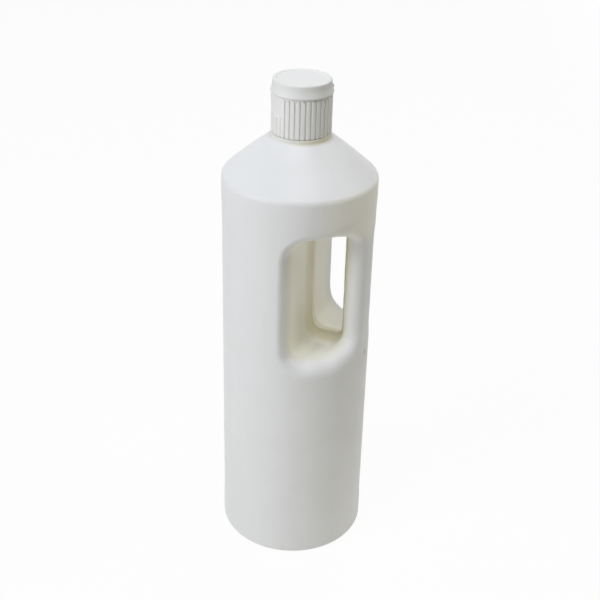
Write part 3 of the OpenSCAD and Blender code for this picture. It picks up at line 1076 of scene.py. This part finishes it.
def seenStraight(tree):  # 1 for rays from the camera or off a shiny or clear surface, 0 for the others
    path = tree.nodes.new("ShaderNodeLightPath").outputs
    names = ("Is Camera Ray", "Is Glossy Ray", "Is Transmission Ray")
    straight, shiny, clear = (Wire(tree, path[name]) for name in names)
    return straight.math("MAXIMUM", straight, straight.math("MAXIMUM", shiny, clear))


def makeFloor():
    half = studio["floorSize"] / 2
    mesh = bpy.data.meshes.new("floor")
    corners = np.array([[-half, -half, 0], [half, -half, 0], [half, half, 0], [-half, half, 0]])
    mesh.from_pydata(corners.tolist(), [], [[0, 1, 2, 3]])
    look = bpy.data.materials.new("paleFloor")
    look.use_nodes = True
    tree = look.node_tree
    tree.nodes.clear()
    seen = seenStraight(tree)
    place = Wire(tree, tree.nodes.new("ShaderNodeTexCoord").outputs["Object"])
    turn = np.radians(lens["turn"] + 90)
    right = (np.cos(turn), np.sin(turn), 0)
    aside = place.node("ShaderNodeVectorMath", {"operation": "DOT_PRODUCT"}, {0: place, 1: right}, out=1)
    far = aside.rise(*studio["sheetEdge"])
    tone = far.tint(studio["floorTone"], studio["farTone"])
    matte = seen.node("ShaderNodeBsdfDiffuse", {}, {"Color": tone})
    glow = seen.node("ShaderNodeEmission", {}, {"Color": (1, 1, 1, 1), "Strength": 1.0})
    share = studio["floorGlow"] + far * (1 - studio["floorGlow"])
    mix = seen.node("ShaderNodeMixShader", {}, {0: seen * share, 1: matte, 2: glow})
    output = tree.nodes.new("ShaderNodeOutputMaterial")
    tree.links.new(mix.socket, output.inputs["Surface"])
    mesh.materials.append(look)
    floor = bpy.data.objects.new("floor", mesh)
    bpy.context.scene.collection.objects.link(floor)


def makeSky():
    world = bpy.data.worlds.new("softSky")
    world.use_nodes = True
    bpy.context.scene.world = world
    tree = world.node_tree
    tree.nodes.clear()
    seen = seenStraight(tree)
    sky = {"Color": studio["skyTone"], "Strength": studio["skyPower"]}
    light = seen.node("ShaderNodeBackground", {}, sky)
    white = seen.node("ShaderNodeBackground", {}, {"Color": (1, 1, 1, 1), "Strength": 1.0})
    mix = seen.node("ShaderNodeMixShader", {}, {0: seen, 1: light, 2: white})
    output = tree.nodes.new("ShaderNodeOutputWorld")
    tree.links.new(mix.socket, output.inputs["Surface"])


def addLamp(name, aside, above, power, size, tone):
    turn, rise = np.radians(lens["turn"] + aside), np.radians(above)
    back = np.array([np.cos(turn) * np.cos(rise), np.sin(turn) * np.cos(rise), np.sin(rise)])
    right = np.array([-np.sin(turn), np.cos(turn), 0])
    axes = np.stack([right, np.cross(back, right), back], 1)
    lamp = bpy.data.lights.new(name, "AREA")
    lamp.energy = power
    lamp.size = size
    lamp.color = studio[tone]
    holder = bpy.data.objects.new(name, lamp)
    place = np.array(studio["aim"]) + studio["lampReach"] * back
    holder.matrix_world = Matrix.LocRotScale(place, Matrix(axes.tolist()), None)
    bpy.context.scene.collection.objects.link(holder)


def swing(a, b, angle):  # two directions at right angles turned in their plane, a towards b
    return a * np.cos(angle) + b * np.sin(angle), b * np.cos(angle) - a * np.sin(angle)


def makeCamera():
    turn, yaw, pitch, roll = (np.radians(lens[name]) for name in ("turn", "yaw", "pitch", "roll"))
    place = (lens["distance"] * np.cos(turn), lens["distance"] * np.sin(turn), lens["height"])
    ahead = np.array([-np.cos(turn), -np.sin(turn), 0])
    right = np.array([ahead[1], -ahead[0], 0])
    up = np.array([0, 0, 1.0])
    ahead, right = swing(ahead, right, yaw)
    ahead, up = swing(ahead, up, -pitch)
    right, up = swing(right, up, roll)
    data = bpy.data.cameras.new("photoCamera")
    data.sensor_width = lens["sensor"]
    data.lens = lens["focal"]
    camera = bpy.data.objects.new("photoCamera", data)
    axes = np.stack([right, up, -ahead], 1)
    camera.matrix_world = Matrix.LocRotScale(place, Matrix(axes.tolist()), None)
    bpy.context.scene.collection.objects.link(camera)
    bpy.context.scene.camera = camera


makeFloor()
makeSky()
for name, settings in lamps.items():
    addLamp(name, *settings)
makeCamera()
bpy.context.scene.view_settings.view_transform = "Standard"
print("stage made")
